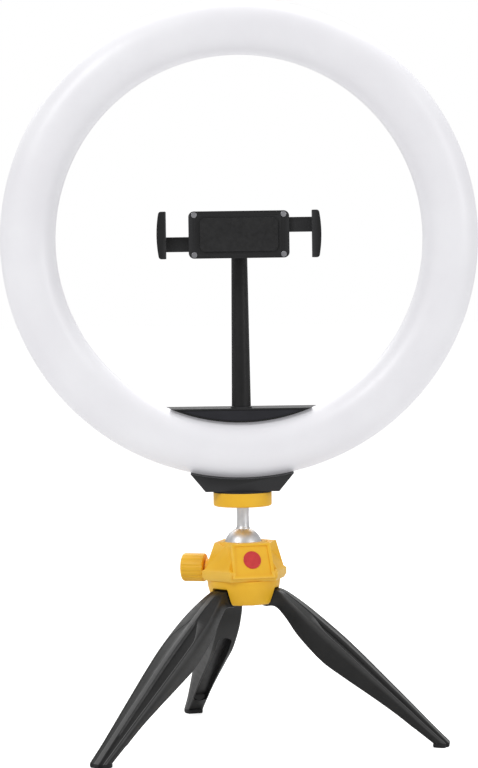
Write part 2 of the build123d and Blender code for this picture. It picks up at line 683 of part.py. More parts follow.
def make_leg_hub():
    hub = turned_z([
        (0, TAB_BOTTOM), (16.4, TAB_BOTTOM), (17.2, TAB_BOTTOM + 0.9), (18.6, TAB_BOTTOM + 5.6),
        (19.6, HOUSING_BOTTOM - 3.9), (20.1, HOUSING_BOTTOM), (0, HOUSING_BOTTOM),
    ])
    hub += rod_z(HUB_POST_R, HOUSING_BOTTOM - 1, HUB_POST_TOP)
    for azimuth in LEG_AZIMUTHS.values():
        hub -= turned(leg_slot(), azimuth)
    for azimuth in LEG_AZIMUTHS.values():
        half = PIN_LENGTH / 2 + SNUG
        hub -= turned(rod_x(PIN_R + SNUG, -half, half, -PIVOT_R, PIVOT_Z), azimuth)
    for azimuth in TAB_AZIMUTHS:
        hub -= turned(rod_z(HUB_SHANK_R + 0.08, TAB_BOTTOM - 1, HOUSING_BOTTOM + 1, 0, -HUB_SCREW_R), azimuth)
        hub -= turned(rod_z(HUB_HEAD_R + 0.1, TAB_BOTTOM - 1, HUB_SCREW_SEAT, 0, -HUB_SCREW_R), azimuth)
    return hub


def make_hub_screws():
    screws = []
    for azimuth in TAB_AZIMUTHS:
        shank = rod_z(HUB_SHANK_R, HUB_SCREW_SEAT - 1, HOUSING_BOTTOM + 2.5, 0, -HUB_SCREW_R)
        screw = shank + rod_z(HUB_HEAD_R, HUB_SCREW_SEAT - 1.6, HUB_SCREW_SEAT, 0, -HUB_SCREW_R)
        screws.append(turned(screw.solids()[0], azimuth))
    return Compound(children=screws)


def make_pivot_pins():
    half = PIN_LENGTH / 2
    pins = [turned(rod_x(PIN_R, -half, half, -PIVOT_R, PIVOT_Z), a) for a in LEG_AZIMUTHS.values()]
    return Compound(children=pins)


# Leg stations: outer (r, z), inner (r, z), width across the shoulders, width of the
# inner face, and the ridge's height above the shoulders.
LEG_STATIONS = [
    ((13.5, 85.2), (13.5, 75.2), 9.8, 9.8, 0.2),
    ((21.1, 84.1), (18.6, 74.9), 9.8, 9.8, 0.4),
    ((30.0, 78.4), (24.2, 69.4), 14.8, 11.4, 0.8),
    ((40.5, 70.0), (31.6, 59.2), 18.8, 11.6, 1.0),
    ((54.4, 58.2), (44.0, 46.0), 20.2, 11.0, 1.1),
    ((65.7, 47.9), (55.4, 37.6), 19.2, 10.2, 1.1),
    ((80.2, 34.1), (71.0, 27.2), 16.4, 9.6, 1.1),
    ((92.1, 22.8), (85.2, 17.4), 13.8, 9.0, 1.0),
    ((103.3, 11.9), (97.4, 8.0), 11.8, 8.6, 1.0),
    ((113.7, 1.8), (106.6, 0.8), 10.8, 8.4, 0.9),
]
RIDGE_HALF = 2.3
RECESS_HALF = 2.75
RECESS_DEPTH = 2.2


def leg_section(outer, inner, width, inner_width, crown):
    (ro, zo), (ri, zi) = outer, inner
    thick = sqrt((ro - ri) ** 2 + (zo - zi) ** 2)
    nr, nz = (ro - ri) / thick, (zo - zi) / thick
    plane = Plane(origin=(0, -(ro + ri) / 2, (zo + zi) / 2), x_dir=(1, 0, 0), z_dir=(0, -nz, -nr))
    top = thick / 2
    outline = Polygon(
        (-RIDGE_HALF, top), (-width / 2, top - crown), (-inner_width / 2, -top),
        (inner_width / 2, -top), (width / 2, top - crown), (RIDGE_HALF, top), align=None,
    )
    return plane * outline


def inner_recess():
    """The long slot in a leg's inner face, from between two stations down to near the foot."""
    sides = [station[:2] for station in LEG_STATIONS[3:9]]
    sides[0] = [tuple((a + b) / 2 for a, b in zip(p, q)) for p, q in zip(sides[0], sides[1])]
    edge = []
    deep = []
    for (ro, zo), (ri, zi) in sides:
        thick = sqrt((ro - ri) ** 2 + (zo - zi) ** 2)
        nr, nz = (ro - ri) / thick, (zo - zi) / thick
        edge.append((-(ri - 2 * nr), zi - 2 * nz))
        deep.append((-(ri + RECESS_DEPTH * nr), zi + RECESS_DEPTH * nz))
    plane = Plane((-RECESS_HALF, 0, 0), x_dir=(0, 1, 0), z_dir=(1, 0, 0))
    return extrude(plane * Polygon(*edge, *reversed(deep), align=None), amount=2 * RECESS_HALF, dir=(1, 0, 0))


def make_leg():
    leg = loft([leg_section(*station) for station in LEG_STATIONS], ruled=True)
    leg += rod_x(LUG_R, -LUG_WIDTH / 2, LUG_WIDTH / 2, -PIVOT_R, PIVOT_Z)
    leg -= block((-20, -FOOT_REACH - 30, -20), (20, 0, FOOT_PAD_TOP))
    leg -= block((-20, -FOOT_REACH - 30, -20), (20, -FOOT_REACH, 60))
    leg -= inner_recess()
    leg -= rod_z(FOOT_PEG_R + SNUG, 0, FOOT_PAD_TOP + FOOT_PEG_HEIGHT + 0.1, 0, -FOOT_REACH + FOOT_PEG_IN)
    return leg - rod_x(PIN_R + FIT, -10, 10, -PIVOT_R, PIVOT_Z)


def make_foot_pad():
    inner = FOOT_REACH - FOOT_LENGTH
    pad = block((-FOOT_HALF_WIDTH, -FOOT_REACH, 0), (FOOT_HALF_WIDTH, -inner, FOOT_PAD_TOP))
    pad = fillet(pad.edges().filter_by(Axis.Z), FOOT_ROUND)
    outer_low = pad.edges().filter_by(lambda e: e.center().Z < 0.01 and e.center().Y < -FOOT_REACH + 0.01)
    pad = chamfer(outer_low, FOOT_CHAMFER)
    peg_y = -FOOT_REACH + FOOT_PEG_IN
    return pad + rod_z(FOOT_PEG_R, FOOT_PAD_TOP - 1, FOOT_PAD_TOP + FOOT_PEG_HEIGHT, 0, peg_y)


# ---- locking knob, modelled towards -Y ----
def make_clamp_knob():
    knob = rod_y(KNOB_R, -KNOB_END, -KNOB_START, 0, CLAMP_Z)
    far = knob.edges().filter_by(GeomType.CIRCLE).filter_by(lambda e: e.center().Y < -KNOB_END + 0.1)
    knob = fillet(far, 1.6)
    near = knob.edges().filter_by(GeomType.CIRCLE).filter_by(lambda e: e.center().Y > -KNOB_START - 0.1)
    knob = fillet(near, 0.8)
    for i in range(KNOB_GRIPS):
        angle = radians(360 / KNOB_GRIPS * (i + 0.5))
        x, z = (KNOB_R + 1.2) * cos(angle), (KNOB_R + 1.2) * sin(angle)
        knob -= rod_y(1.5, -KNOB_END - 1, -KNOB_START + 1, x, CLAMP_Z + z)
    knob -= rod_y(CLAMP_BOLT_R + SNUG, -KNOB_END + 4, -KNOB_START + 1, 0, CLAMP_Z)
    return turned(knob, CLAMP_AZIMUTH)


def make_clamp_screw():
    return turned(rod_y(CLAMP_BOLT_R, -KNOB_END + 4, -BOLT_TIP, 0, CLAMP_Z), CLAMP_AZIMUTH)


def make_knob_washer():
    washer = rod_y(4.4, -KNOB_START, -KNOB_START + 0.5, 0, CLAMP_Z)
    return turned(washer - rod_y(CLAMP_BOLT_R + SNUG, -30, 0, 0, CLAMP_Z), CLAMP_AZIMUTH)


def make_clamp_pad():
    return turned(rod_y(CLAMP_PAD_R, -BOLT_TIP, -BOLT_TIP + 3, 0, CLAMP_Z), CLAMP_AZIMUTH)


def make_clamp_nut():
    nut = rod_y(CLAMP_NUT_R, -20.5, -15.0, 0, CLAMP_Z) - rod_y(CLAMP_BOLT_R + FIT, -30, 0, 0, CLAMP_Z)
    return turned(nut, CLAMP_AZIMUTH)


def build_lamp():
    write(lamp(make_front_diffuser()), "front_diffuser")
    write(lamp(make_rear_housing()), "rear_housing")
    write(lamp(make_led_board()), "led_board")
    write(lamp(make_leds()), "leds")
    write(lamp(make_web_plate()), "web_plate")
    write(lamp(make_control_cover()), "control_cover")
    write(lamp(make_control_board()), "control_board")
    write(lamp(make_tact_switches()), "tact_switches")
    write(lamp(make_usb_socket()), "usb_socket")
    write(lamp(make_thread_insert()), "thread_insert")
    write(lamp(make_cover_screws()), "cover_screws")
    write(lamp(make_housing_screws()), "housing_screws")
    for name, x in BUTTON_X.items():
        write(lamp(make_button(x)), name + "_button")


def build_holder():
    write(lamp(make_stem_post()), "stem_post")
    write(lamp(make_stem_screw()), "stem_screw")
    write(lamp(make_socket_liner()), "socket_liner")
    write(lamp(make_lock_nut()), "lock_nut")
    write(lamp(make_clamp_ball()), "clamp_ball")
    write(holder(make_clamp_back()), "clamp_back")
    write(holder(make_clamp_cover()), "clamp_cover")
    write(holder(make_clamp_screws()), "clamp_screws")
    write(holder(make_back_pad()), "back_pad")
    for name, side in (("right", 1), ("left", -1)):
        write(holder(make_jaw(side)), "jaw_" + name)
        write(holder(make_jaw_pad(side)), "jaw_pad_" + name)
        write(holder(make_spring(side)), "jaw_spring_" + name)


def build_tripod():
    write(head(make_ball_stud()), "ball_stud")
    write(head(make_top_collar()), "top_collar")
    write(head(make_collar_pad()), "collar_pad")
    write(head(make_ball_seat()), "ball_seat")
    write(tripod(make_head_housing()), "head_housing")
    write(tripod(make_front_badge()), "front_badge")
    write(tripod(make_leg_hub()), "leg_hub")
    write(tripod(make_hub_screws()), "hub_screws")
    write(tripod(make_pivot_pins()), "pivot_pins")
    write(tripod(make_clamp_knob()), "clamp_knob")
    write(tripod(make_clamp_screw()), "clamp_screw")
    write(tripod(make_knob_washer()), "knob_washer")
    write(tripod(make_clamp_pad()), "clamp_pad")
    write(tripod(make_clamp_nut()), "clamp_nut")
    leg = make_leg()
    pad = make_foot_pad()
    for name, azimuth in LEG_AZIMUTHS.items():
        write(tripod(turned(leg, azimuth)), "leg_" + name)
        write(tripod(turned(pad, azimuth)), "foot_pad_" + name)


build_lamp()
build_holder()
build_tripod()
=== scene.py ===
import json
from math import cos, pi, radians, sin, sqrt, tan

import bmesh
import bpy
from mathutils import Matrix, Vector
from mathutils.bvhtree import BVHTree


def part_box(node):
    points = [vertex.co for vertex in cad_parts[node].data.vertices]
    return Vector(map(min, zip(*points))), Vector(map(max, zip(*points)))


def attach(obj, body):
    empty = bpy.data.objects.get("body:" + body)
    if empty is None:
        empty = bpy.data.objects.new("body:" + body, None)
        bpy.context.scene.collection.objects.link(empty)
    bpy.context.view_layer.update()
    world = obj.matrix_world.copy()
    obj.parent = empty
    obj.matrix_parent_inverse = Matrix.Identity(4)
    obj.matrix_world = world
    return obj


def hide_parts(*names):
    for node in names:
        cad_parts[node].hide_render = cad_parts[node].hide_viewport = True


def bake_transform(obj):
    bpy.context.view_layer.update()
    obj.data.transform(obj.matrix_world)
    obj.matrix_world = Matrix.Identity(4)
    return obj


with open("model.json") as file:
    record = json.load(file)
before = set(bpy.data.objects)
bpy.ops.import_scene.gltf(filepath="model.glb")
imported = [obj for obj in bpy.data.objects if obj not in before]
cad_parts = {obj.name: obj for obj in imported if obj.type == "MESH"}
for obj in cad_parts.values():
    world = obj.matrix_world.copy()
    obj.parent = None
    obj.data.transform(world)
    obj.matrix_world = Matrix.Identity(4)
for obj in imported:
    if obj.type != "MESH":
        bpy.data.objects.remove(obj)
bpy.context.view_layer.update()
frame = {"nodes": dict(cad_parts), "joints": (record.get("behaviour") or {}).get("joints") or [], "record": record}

# Ring light on a folding table tripod. The lamp faces -Y and +Z is up.
MM = 0.001
RING_LOW, RING_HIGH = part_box("front_diffuser")
SEAM_DEPTH = 2 * MM
JOINTS = {joint["name"]: joint for joint in frame["joints"]}
# The lamp, the head and the tripod share one upright axis.
AXIS_Y = JOINTS["head_pan"]["pos_m"][1]
RING_R = (RING_HIGH.z - RING_LOW.z) / 2
RING_Z = (RING_HIGH.z + RING_LOW.z) / 2
RING = Vector((0, AXIS_Y, RING_Z))
UP = Vector((0, 0, 1))


# ---- materials ----
def srgb(red, green, blue):
    """A linear colour from display values between 0 and 255."""
    return tuple((v / 255) ** 2.2 for v in (red, green, blue)) + (1.0,)


class Finish:
    """One procedural material and its nodes."""

    def __init__(self, name):
        self.material = bpy.data.materials.new(name)
        self.material.use_nodes = True
        self.nodes = self.material.node_tree.nodes
        self.links = self.material.node_tree.links
        self.shader = self.nodes["Principled BSDF"]
        self.coords = self.nodes.new("ShaderNodeTexCoord").outputs["Object"]

    def set(self, **values):
        for name, value in values.items():
            self.shader.inputs[name.replace("_", " ")].default_value = value
        return self

    def noise(self, size, detail=3.0, squeeze=(1, 1, 1)):
        """Cloudy noise with features about `size` metres across."""
        mapping = self.nodes.new("ShaderNodeMapping")
        mapping.inputs["Scale"].default_value = squeeze
        self.links.new(self.coords, mapping.inputs["Vector"])
        node = self.nodes.new("ShaderNodeTexNoise")
        node.inputs["Scale"].default_value = 1 / size
        node.inputs["Detail"].default_value = detail
        self.links.new(mapping.outputs["Vector"], node.inputs["Vector"])
        return node.outputs["Fac"]

    def cells(self, size):
        """Small round pits about `size` metres across."""
        node = self.nodes.new("ShaderNodeTexVoronoi")
        node.inputs["Scale"].default_value = 1 / size
        self.links.new(self.coords, node.inputs["Vector"])
        return node.outputs["Distance"]

    def colour(self, value, dark, light, low=0.3, high=0.7):
        ramp = self.nodes.new("ShaderNodeValToRGB")
        ramp.color_ramp.elements[0].position = low
        ramp.color_ramp.elements[0].color = dark
        ramp.color_ramp.elements[1].position = high
        ramp.color_ramp.elements[1].color = light
        self.links.new(value, ramp.inputs["Fac"])
        self.links.new(ramp.outputs["Color"], self.shader.inputs["Base Color"])
        return self

    def wear_and_painted_highlight(self, light, start=0.52, end=0.62, amount=0.5, attribute=None):
        """Paler at convex edges, where handling has worn them; given an attribute, paler where it says instead, as
        painted highlight.
        """
        if attribute:
            source = self.nodes.new("ShaderNodeAttribute")
            source.attribute_name = attribute
            paling = source.outputs["Fac"]
        else:
            paling = self.nodes.new("ShaderNodeNewGeometry").outputs["Pointiness"]
        share = self.nodes.new("ShaderNodeMapRange")
        share.inputs["From Min"].default_value = start
        share.inputs["From Max"].default_value = end
        share.inputs["To Max"].default_value = amount
        self.links.new(paling, share.inputs["Value"])
        mix = self.nodes.new("ShaderNodeMixRGB")
        mix.inputs["Color2"].default_value = light
        base = self.shader.inputs["Base Color"].links[0].from_socket
        self.links.new(share.outputs["Result"], mix.inputs["Fac"])
        self.links.new(base, mix.inputs["Color1"])
        self.links.new(mix.outputs["Color"], self.shader.inputs["Base Color"])
        return self

    def roughness(self, value, low, high):
        node = self.nodes.new("ShaderNodeMapRange")
        node.inputs["From Min"].default_value = 0.3
        node.inputs["From Max"].default_value = 0.7
        node.inputs["To Min"].default_value = low
        node.inputs["To Max"].default_value = high
        self.links.new(value, node.inputs["Value"])
        self.links.new(node.outputs["Result"], self.shader.inputs["Roughness"])
        return self

    def bump(self, value, height, strength=1.0):
        node = self.nodes.new("ShaderNodeBump")
        node.inputs["Distance"].default_value = height
        node.inputs["Strength"].default_value = strength
        self.links.new(value, node.inputs["Height"])
        socket = self.shader.inputs["Normal"]
        if socket.links:
            self.links.new(socket.links[0].from_socket, node.inputs["Normal"])
        self.links.new(node.outputs["Normal"], socket)
        return self


def opal_diffuser():
    it = Finish("opal_diffuser").set(Coat_Weight=0.4, Coat_Roughness=0.3)
    it.set(Emission_Color=srgb(236, 235, 240), Emission_Strength=0.3)
    it.colour(it.noise(40 * MM), srgb(204, 203, 207), srgb(212, 212, 215))
    it.roughness(it.noise(6 * MM), 0.4, 0.52)
    return it.bump(it.noise(0.35 * MM), 0.004 * MM, 0.5).bump(it.noise(30 * MM), 0.05 * MM, 0.4)


def moulded(name, dark, light, rough, grain=0.45 * MM, height=0.02 * MM):
    """Injection-moulded plastic with a fine spark-eroded texture."""
    it = Finish(name).set(Specular_IOR_Level=0.4)
    it.colour(it.noise(12 * MM, 4), dark, light)
    it.roughness(it.noise(3 * MM), rough - 0.06, rough + 0.06)
    return it.bump(it.noise(grain, 4), height, 0.7).bump(it.noise(9 * MM), 0.05 * MM, 0.3)


def black_shell():
    return moulded("black_shell", srgb(14, 14, 15), srgb(20, 20, 21), 0.46).wear_and_painted_highlight(srgb(60, 60, 62))


def web_black():
    return moulded("web_black", srgb(30, 30, 36), srgb(37, 37, 43), 0.46)


def leg_black():
    it = moulded("leg_black", srgb(25, 25, 25), srgb(32, 32, 32), 0.36, 0.6 * MM, 0.015 * MM)
    # Painted highlight: paler along the ridge, the recess's rim and the shoulders, where the per-point attribute
    # says.
    return it.wear_and_painted_highlight(srgb(112, 112, 112), 0, 1, 0.8, "painted_highlight")


def button_black():
    return moulded("button_black", srgb(30, 30, 31), srgb(38, 38, 39), 0.5).wear_and_painted_highlight(srgb(70, 70, 70))


def yellow_plastic():
    it = moulded("yellow_plastic", srgb(244, 184, 40), srgb(251, 194, 50), 0.46)
    return it.wear_and_painted_highlight(srgb(250, 210, 110), amount=0.4)


def red_badge():
    it = Finish("red_badge").set(Coat_Weight=0.6, Coat_Roughness=0.1)
    it.colour(it.noise(3 * MM), srgb(200, 34, 38), srgb(216, 46, 48))
    it.roughness(it.noise(1.5 * MM), 0.28, 0.4)
    return it.bump(it.noise(0.5 * MM), 0.01 * MM, 0.5)


def metal(name, dark, light, rough, squeeze=(1, 1, 12)):
    """Machined metal with fine turning marks across its axis."""
    it = Finish(name).set(Metallic=1.0)
    it.colour(it.noise(4 * MM), dark, light)
    it.roughness(it.noise(0.8 * MM, 3, squeeze), rough - 0.06, rough + 0.08)
    return it.bump(it.noise(0.5 * MM, 2, squeeze), 0.006 * MM, 0.6)


def satin_aluminium():
    return metal("satin_aluminium", srgb(214, 215, 218), srgb(230, 231, 234), 0.44)


def steel():
    return metal("steel", srgb(150, 150, 154), srgb(184, 184, 188), 0.28)


def brass():
    return metal("brass", srgb(196, 158, 84), srgb(220, 184, 110), 0.26)


def rubber_black():
    it = Finish("rubber_black")
    it.colour(it.noise(5 * MM, 4), srgb(24, 24, 25), srgb(34, 34, 35))
    it.roughness(it.noise(2 * MM), 0.66, 0.82)
    return it.bump(it.noise(0.35 * MM, 4), 0.04 * MM, 0.8)


def nylon():
    it = Finish("nylon").set(Subsurface_Weight=0.1)
    it.colour(it.noise(6 * MM), srgb(214, 211, 200), srgb(228, 226, 218))
    it.roughness(it.noise(2 * MM), 0.4, 0.52)
    return it.bump(it.noise(0.4 * MM), 0.01 * MM, 0.5)


def washer_red():
    it = Finish("washer_red")
    it.colour(it.noise(2 * MM), srgb(208, 72, 30), srgb(226, 88, 40))
    it.roughness(it.noise(1 * MM), 0.45, 0.6)
    return it.bump(it.noise(0.3 * MM), 0.02 * MM, 0.6)


def board(name, dark, light):
    """Solder mask over glass laminate."""
    it = Finish(name)
    it.colour(it.noise(2.5 * MM, 5), dark, light)
    it.roughness(it.noise(1.5 * MM), 0.3, 0.45)
    return it.bump(it.noise(0.7 * MM, 2, (1, 6, 1)), 0.02 * MM, 0.5)


def board_white():
    return board("board_white", srgb(222, 222, 218), srgb(236, 236, 233))


def board_green():
    return board("board_green", srgb(22, 84, 50), srgb(32, 104, 62))


def led():
    it = Finish("led").set(Coat_Weight=0.5)
    it.colour(it.cells(1.4 * MM), srgb(232, 214, 110), srgb(238, 236, 220), 0.2, 0.6)
    it.roughness(it.noise(1 * MM), 0.25, 0.4)
    return it.bump(it.noise(0.5 * MM), 0.01 * MM, 0.5)


FINISHES = {
    make.__name__: make().material
    for make in (
        opal_diffuser, black_shell, web_black, leg_black, button_black, yellow_plastic, red_badge,
        satin_aluminium, steel, brass, rubber_black, nylon, washer_red, board_white, board_green, led,
    )
}
NODE_SLOT = {part["node"]: part["material_slot"] for part in frame["record"]["subparts"]}


# ---- mesh helpers ----
# Edges sharper than this, in degrees, are rounded, and shaded sharp where they aren't.
SHARP_ANGLE = 30
# Points closer than this are one point.
SEAM_GAP = 0.0005 * MM
CAD_SEAM_GAP = 0.001 * MM
# Neighbouring faces within this angle, in degrees, are one flat.
FLAT_ANGLE = 0.5
BEVEL_SEGMENTS = 3
# A bevel that would throw a point off the surface is tried again at a smaller share of its width.
BEVEL_TRIES = (1.0, 0.5, 0.25, 0)
# Each spring and the jaw that pulls it.
SPRINGS = {"jaw_spring_left": "jaw_left", "jaw_spring_right": "jaw_right"}


def add_piece(name, mesh, body, slot, nodes):
    """A mesh, already in the shared frame, that stands for some CAD nodes.

    A spring is given no body, because it stretches between two.
    """
    piece = bpy.data.objects.new(name, mesh)
    bpy.context.scene.collection.objects.link(piece)
    mesh.materials.clear()
    mesh.materials.append(FINISHES[slot])
    if body:
        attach(piece, body)
    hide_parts(*nodes)
    return piece


def body_of(node):
    return next(b for b, members in frame["record"]["behaviour"]["bodies"].items() if node in members)


def shade(mesh, angle):
    """Shade the mesh smooth between edges sharper than an angle in degrees."""
    mesh.shade_smooth()
    mesh.set_sharp_from_angle(angle=radians(angle))
    return mesh


def tidy(mesh, angle=SHARP_ANGLE):
    """Close the mesh's seams, turn its faces outward and shade it."""
    work = bmesh.new()
    work.from_mesh(mesh)
    bmesh.ops.remove_doubles(work, verts=work.verts, dist=SEAM_GAP)
    bmesh.ops.dissolve_degenerate(work, edges=work.edges, dist=SEAM_GAP)
    bmesh.ops.recalc_face_normals(work, faces=work.faces)
    work.to_mesh(mesh)
    work.free()
    return shade(mesh, angle)


def plain_mesh(name, points, faces):
    mesh = bpy.data.meshes.new(name)
    mesh.from_pydata([tuple(p) for p in points], [], faces)
    return mesh


def bevelled(mesh, width):
    """The mesh with its sharp edges rounded, or where width is zero only with its flats shaded flat."""
    holder = bpy.data.objects.new("working", mesh)
    bpy.context.scene.collection.objects.link(holder)
    if width:
        bevel = holder.modifiers.new("edges", "BEVEL")
        bevel.width = width
        bevel.segments = BEVEL_SEGMENTS
        bevel.limit_method = "ANGLE"
        bevel.angle_limit = radians(SHARP_ANGLE)
        bevel.miter_outer = "MITER_ARC"
        bevel.use_clamp_overlap = False
        bevel.harden_normals = True
    else:
        normals = holder.modifiers.new("normals", "WEIGHTED_NORMAL")
        normals.weight = 100
        normals.keep_sharp = True
    graph = bpy.context.evaluated_depsgraph_get()
    done = bpy.data.meshes.new_from_object(holder.evaluated_get(graph))
    bpy.data.objects.remove(holder)
    return done


def follows(mesh, tree, reach):
    """Whether all of the mesh stays within reach of a surface."""
    return all(tree.find_nearest(vertex.co)[3] < reach for vertex in mesh.vertices)


def refined(node, width):
    """A CAD part in its place, with its flats merged and its edges rounded where width isn't zero."""
    source = frame["nodes"][node].data
    mesh = plain_mesh(node, [v.co for v in source.vertices], [tuple(p.vertices) for p in source.polygons])
    work = bmesh.new()
    work.from_mesh(mesh)
    bmesh.ops.remove_doubles(work, verts=work.verts, dist=CAD_SEAM_GAP)
    if width:
        bmesh.ops.dissolve_limit(work, angle_limit=radians(FLAT_ANGLE), verts=work.verts, edges=work.edges)
    work.to_mesh(mesh)
    work.free()
    shade(mesh, SHARP_ANGLE)
    tree = BVHTree.FromPolygons([v.co for v in mesh.vertices], [tuple(p.vertices) for p in mesh.polygons])
    for share in BEVEL_TRIES:
        rounded = bevelled(mesh, width * share)
        if share == 0 or follows(rounded, tree, width * share):
            break
    body = None if node in SPRINGS else body_of(node)
    return add_piece(node + "_piece", rounded, body, NODE_SLOT[node], [node])


def stretch(piece):
    """Bake the place of a spring, which is hooked on the clamp at its outer end and on a jaw's arm at its inner
    end, into its mesh.
    """
    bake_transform(piece)


def lathe(profile, segments):
    """A closed surface of revolution about Z from a loop of (radius, height) points."""
    points = []
    for radius, height in profile:
        for i in range(segments):
            angle = 2 * pi * i / segments
            points.append((radius * cos(angle), radius * sin(angle), height))
    faces = []
    for j in range(len(profile)):
        low, high = j * segments, (j + 1) % len(profile) * segments
        for i in range(segments):
            k = (i + 1) % segments
            faces.append((low + i, low + k, high + k, high + i))
    return plain_mesh("turned", points, faces)


# ---- lamp ----
# Half the ring's width, then the dome's depth and base, the wall, and the lip at the open back.
RING_TUBE = 15 * MM
DOME_DEPTH = 12 * MM
DOME_BASE = -2 * MM
DIFFUSER_WALL = 2 * MM
LIP_HALF = 11.5 * MM
LIP_THICK = 1.6 * MM
SEAM_EDGE = 0.3 * MM
DOME_STEPS = 36
RING_SEGMENTS = 240


def make_diffuser():
    """The opal ring, a hollow half-ellipse in section with a lip at its back."""
    middle = RING_R - RING_TUBE
    lip = SEAM_DEPTH - LIP_THICK

    def dome(half, depth, direction):
        for i in range(DOME_STEPS + 1):
            angle = pi * (i if direction > 0 else DOME_STEPS - i) / DOME_STEPS
            yield middle + half * cos(angle), DOME_BASE - depth * sin(angle)

    profile = [
        *dome(RING_TUBE, DOME_DEPTH, 1),
        (middle - RING_TUBE, SEAM_DEPTH - SEAM_EDGE),
        (middle - RING_TUBE + SEAM_EDGE, SEAM_DEPTH),
        (middle - LIP_HALF, SEAM_DEPTH),
        (middle - LIP_HALF, lip),
        *dome(RING_TUBE - DIFFUSER_WALL, DOME_DEPTH - DIFFUSER_WALL, -1),
        (middle + LIP_HALF, lip),
        (middle + LIP_HALF, SEAM_DEPTH),
        (middle + RING_TUBE - SEAM_EDGE, SEAM_DEPTH),
        (middle + RING_TUBE, SEAM_DEPTH - SEAM_EDGE),
    ]
    mesh = lathe(profile, RING_SEGMENTS)
    # The lathe's axis is +Z, so turning it about X points the profile's height along +Y.
    mesh.transform(Matrix.Translation(RING) @ Matrix.Rotation(radians(-90), 4, "X"))
    add_piece("opal_ring", tidy(mesh), "lamp", "opal_diffuser", ["front_diffuser"])


# ---- legs ----
# Along a leg, in millimetres from the tripod's axis and the table: outer (r, z), inner (r, z),
# half width at the shoulders, half width of the inner face, and crown.
LEG_STATIONS = [
    (13.5, 85.2, 13.5, 75.2, 4.9, 4.9, 0.2),
    (21.1, 84.1, 18.6, 74.9, 4.9, 4.9, 0.4),
    (30.0, 78.4, 24.2, 69.4, 7.3, 5.9, 0.9),
    (40.5, 70.0, 31.6, 59.2, 9.6, 6.6, 1.2),
    (54.4, 58.2, 44.0, 46.0, 10.2, 6.4, 1.3),
    (65.7, 47.9, 55.4, 37.6, 9.6, 5.8, 1.3),
    (80.2, 34.1, 71.0, 27.2, 8.2, 5.3, 1.2),
    (92.1, 22.8, 85.2, 17.4, 6.9, 4.9, 1.1),
    (103.3, 11.9, 97.4, 8.0, 5.9, 4.6, 1.0),
    (113.1, 2.4, 104.8, 2.4, 5.4, 4.5, 0.9),
]
STATION_STEPS = 10
# Where along the stations the recess and the slot open and close.
LEAF_FROM, LEAF_FULL = 2.7, 3.75
SLOT_FROM, SLOT_TO, SLOT_RAMP = 3.5, 7.9, 0.2
RIDGE_HALF, RIDGE_STEP = 1.6, 0.7
LEAF_DEPTH = 1.1
# Recess depth and crown, as shares, on the side with the leaf-shaped recess and on the plain one.
LEAF_SIDE, PLAIN_SIDE = (1.0, 1.8), (0.1, 0.6)
SLOT_HALF, SLOT_DEPTH = 4.0, 6.0
# How much painted highlight each point of leg_outline() gets: the ridge, the recess's rim, the shoulder and the
# rest.
RIDGE_HIGHLIGHT = (0.5, 0.5, 0.7, 0.2, 0, 0, 0, 0, 0, 1.0, 0.5, 0.05, 0.3, 0.3) + 9 * (0,)
RIM_POINTS = (9, 10)
# The lug's round end, as angles in degrees from its tip.
LUG_R = 5.0
LUG_ANGLES = (85, 70, 52, 35, 17)
LEG_SHARP_ANGLE = 24
# The foot pad's outline as shares of the leg's end, with heights over the table.
PAD_TOP = 2.4
PAD_SECTIONS = ((0.94, PAD_TOP), (1.0, PAD_TOP - 0.2), (1.0, 0.9), (0.97, 0.4), (0.9, 0))


def smooth(value):
    value = min(1.0, max(0.0, value))
    return value * value * (3 - 2 * value)


def between(rows, place):
    """A row at a place along the list, on a smooth curve through the rows."""
    last = len(rows) - 1
    i = min(int(place), last - 1)
    t = place - i
    before, start, end, after = (rows[min(max(k, 0), last)] for k in (i - 1, i, i + 1, i + 2))
    return [
        0.5 * (2 * b + (c - a) * t + (2 * a - 5 * b + 4 * c - d) * t * t + (3 * b - a - 3 * c + d) * t ** 3)
        for a, b, c, d in zip(before, start, end, after)
    ]


def leg_outline(thick, half, inner_half, crown, leaf, slot, recess, fall):
    """One cross-section in millimetres as (across, height over the inner face), from the ridge down.

    leaf and slot say how far the flank's recess and the inner face's slot have opened, from 0 to 1, and
    recess and fall are the side's shares of the recess's depth and of the crown.
    """
    step = min(RIDGE_STEP, crown * 0.5)
    crown *= fall
    shoulder = thick - crown
    foot = RIDGE_HALF + 0.25 + step * 0.5

    def flank(x):
        share = max(0.0, (x - foot) / (half - foot))
        return thick - step - (crown - step) * share ** 1.15

    depth = LEAF_DEPTH * recess * smooth(2.2 * leaf)
    edge = foot + (half - 1.35 - foot) * leaf
    slot_half = SLOT_HALF * sqrt(max(0.0, 1 - (1 - slot) ** 2))
    slot_depth = min(SLOT_DEPTH, 0.4 * thick) * slot
    waist = half * 0.5 + inner_half * 0.5 + 0.25
    return [
        (0, thick),
        (RIDGE_HALF - 0.4, thick),
        (RIDGE_HALF - 0.08, thick - 0.08 * step),
        (RIDGE_HALF + 0.1, thick - 0.3 * step),
        (foot - 0.15, thick - 0.9 * step - 0.8 * depth),
        (foot + 0.05, flank(foot) - depth),
        (foot * 0.67 + edge * 0.33 + 0.05, flank(foot * 0.67 + edge * 0.33) - depth),
        (foot * 0.33 + edge * 0.67 + 0.05, flank(foot * 0.33 + edge * 0.67) - depth),
        (edge + 0.07, flank(edge) - depth * 0.9),
        (edge + 0.2, flank(edge + 0.2) + 0.12 * depth),
        (edge + 0.55, flank(edge + 0.55) + 0.16 * depth),
        (half - 0.6, flank(half - 0.6) + 0.1 * depth),
        (half - 0.15, shoulder - 0.05),
        (half, shoulder - 0.5),
        (half * 0.8 + inner_half * 0.2 + 0.2, shoulder * 0.75),
        (waist, shoulder * 0.45),
        (inner_half + 0.1, 1.3),
        (inner_half - 0.15, 0.45),
        (inner_half - 0.7, 0.05),
        (slot_half + 0.3, 0),
        (slot_half, 0.3 * slot),
        (slot_half * 0.94, slot_depth),
        (0, slot_depth),
    ]


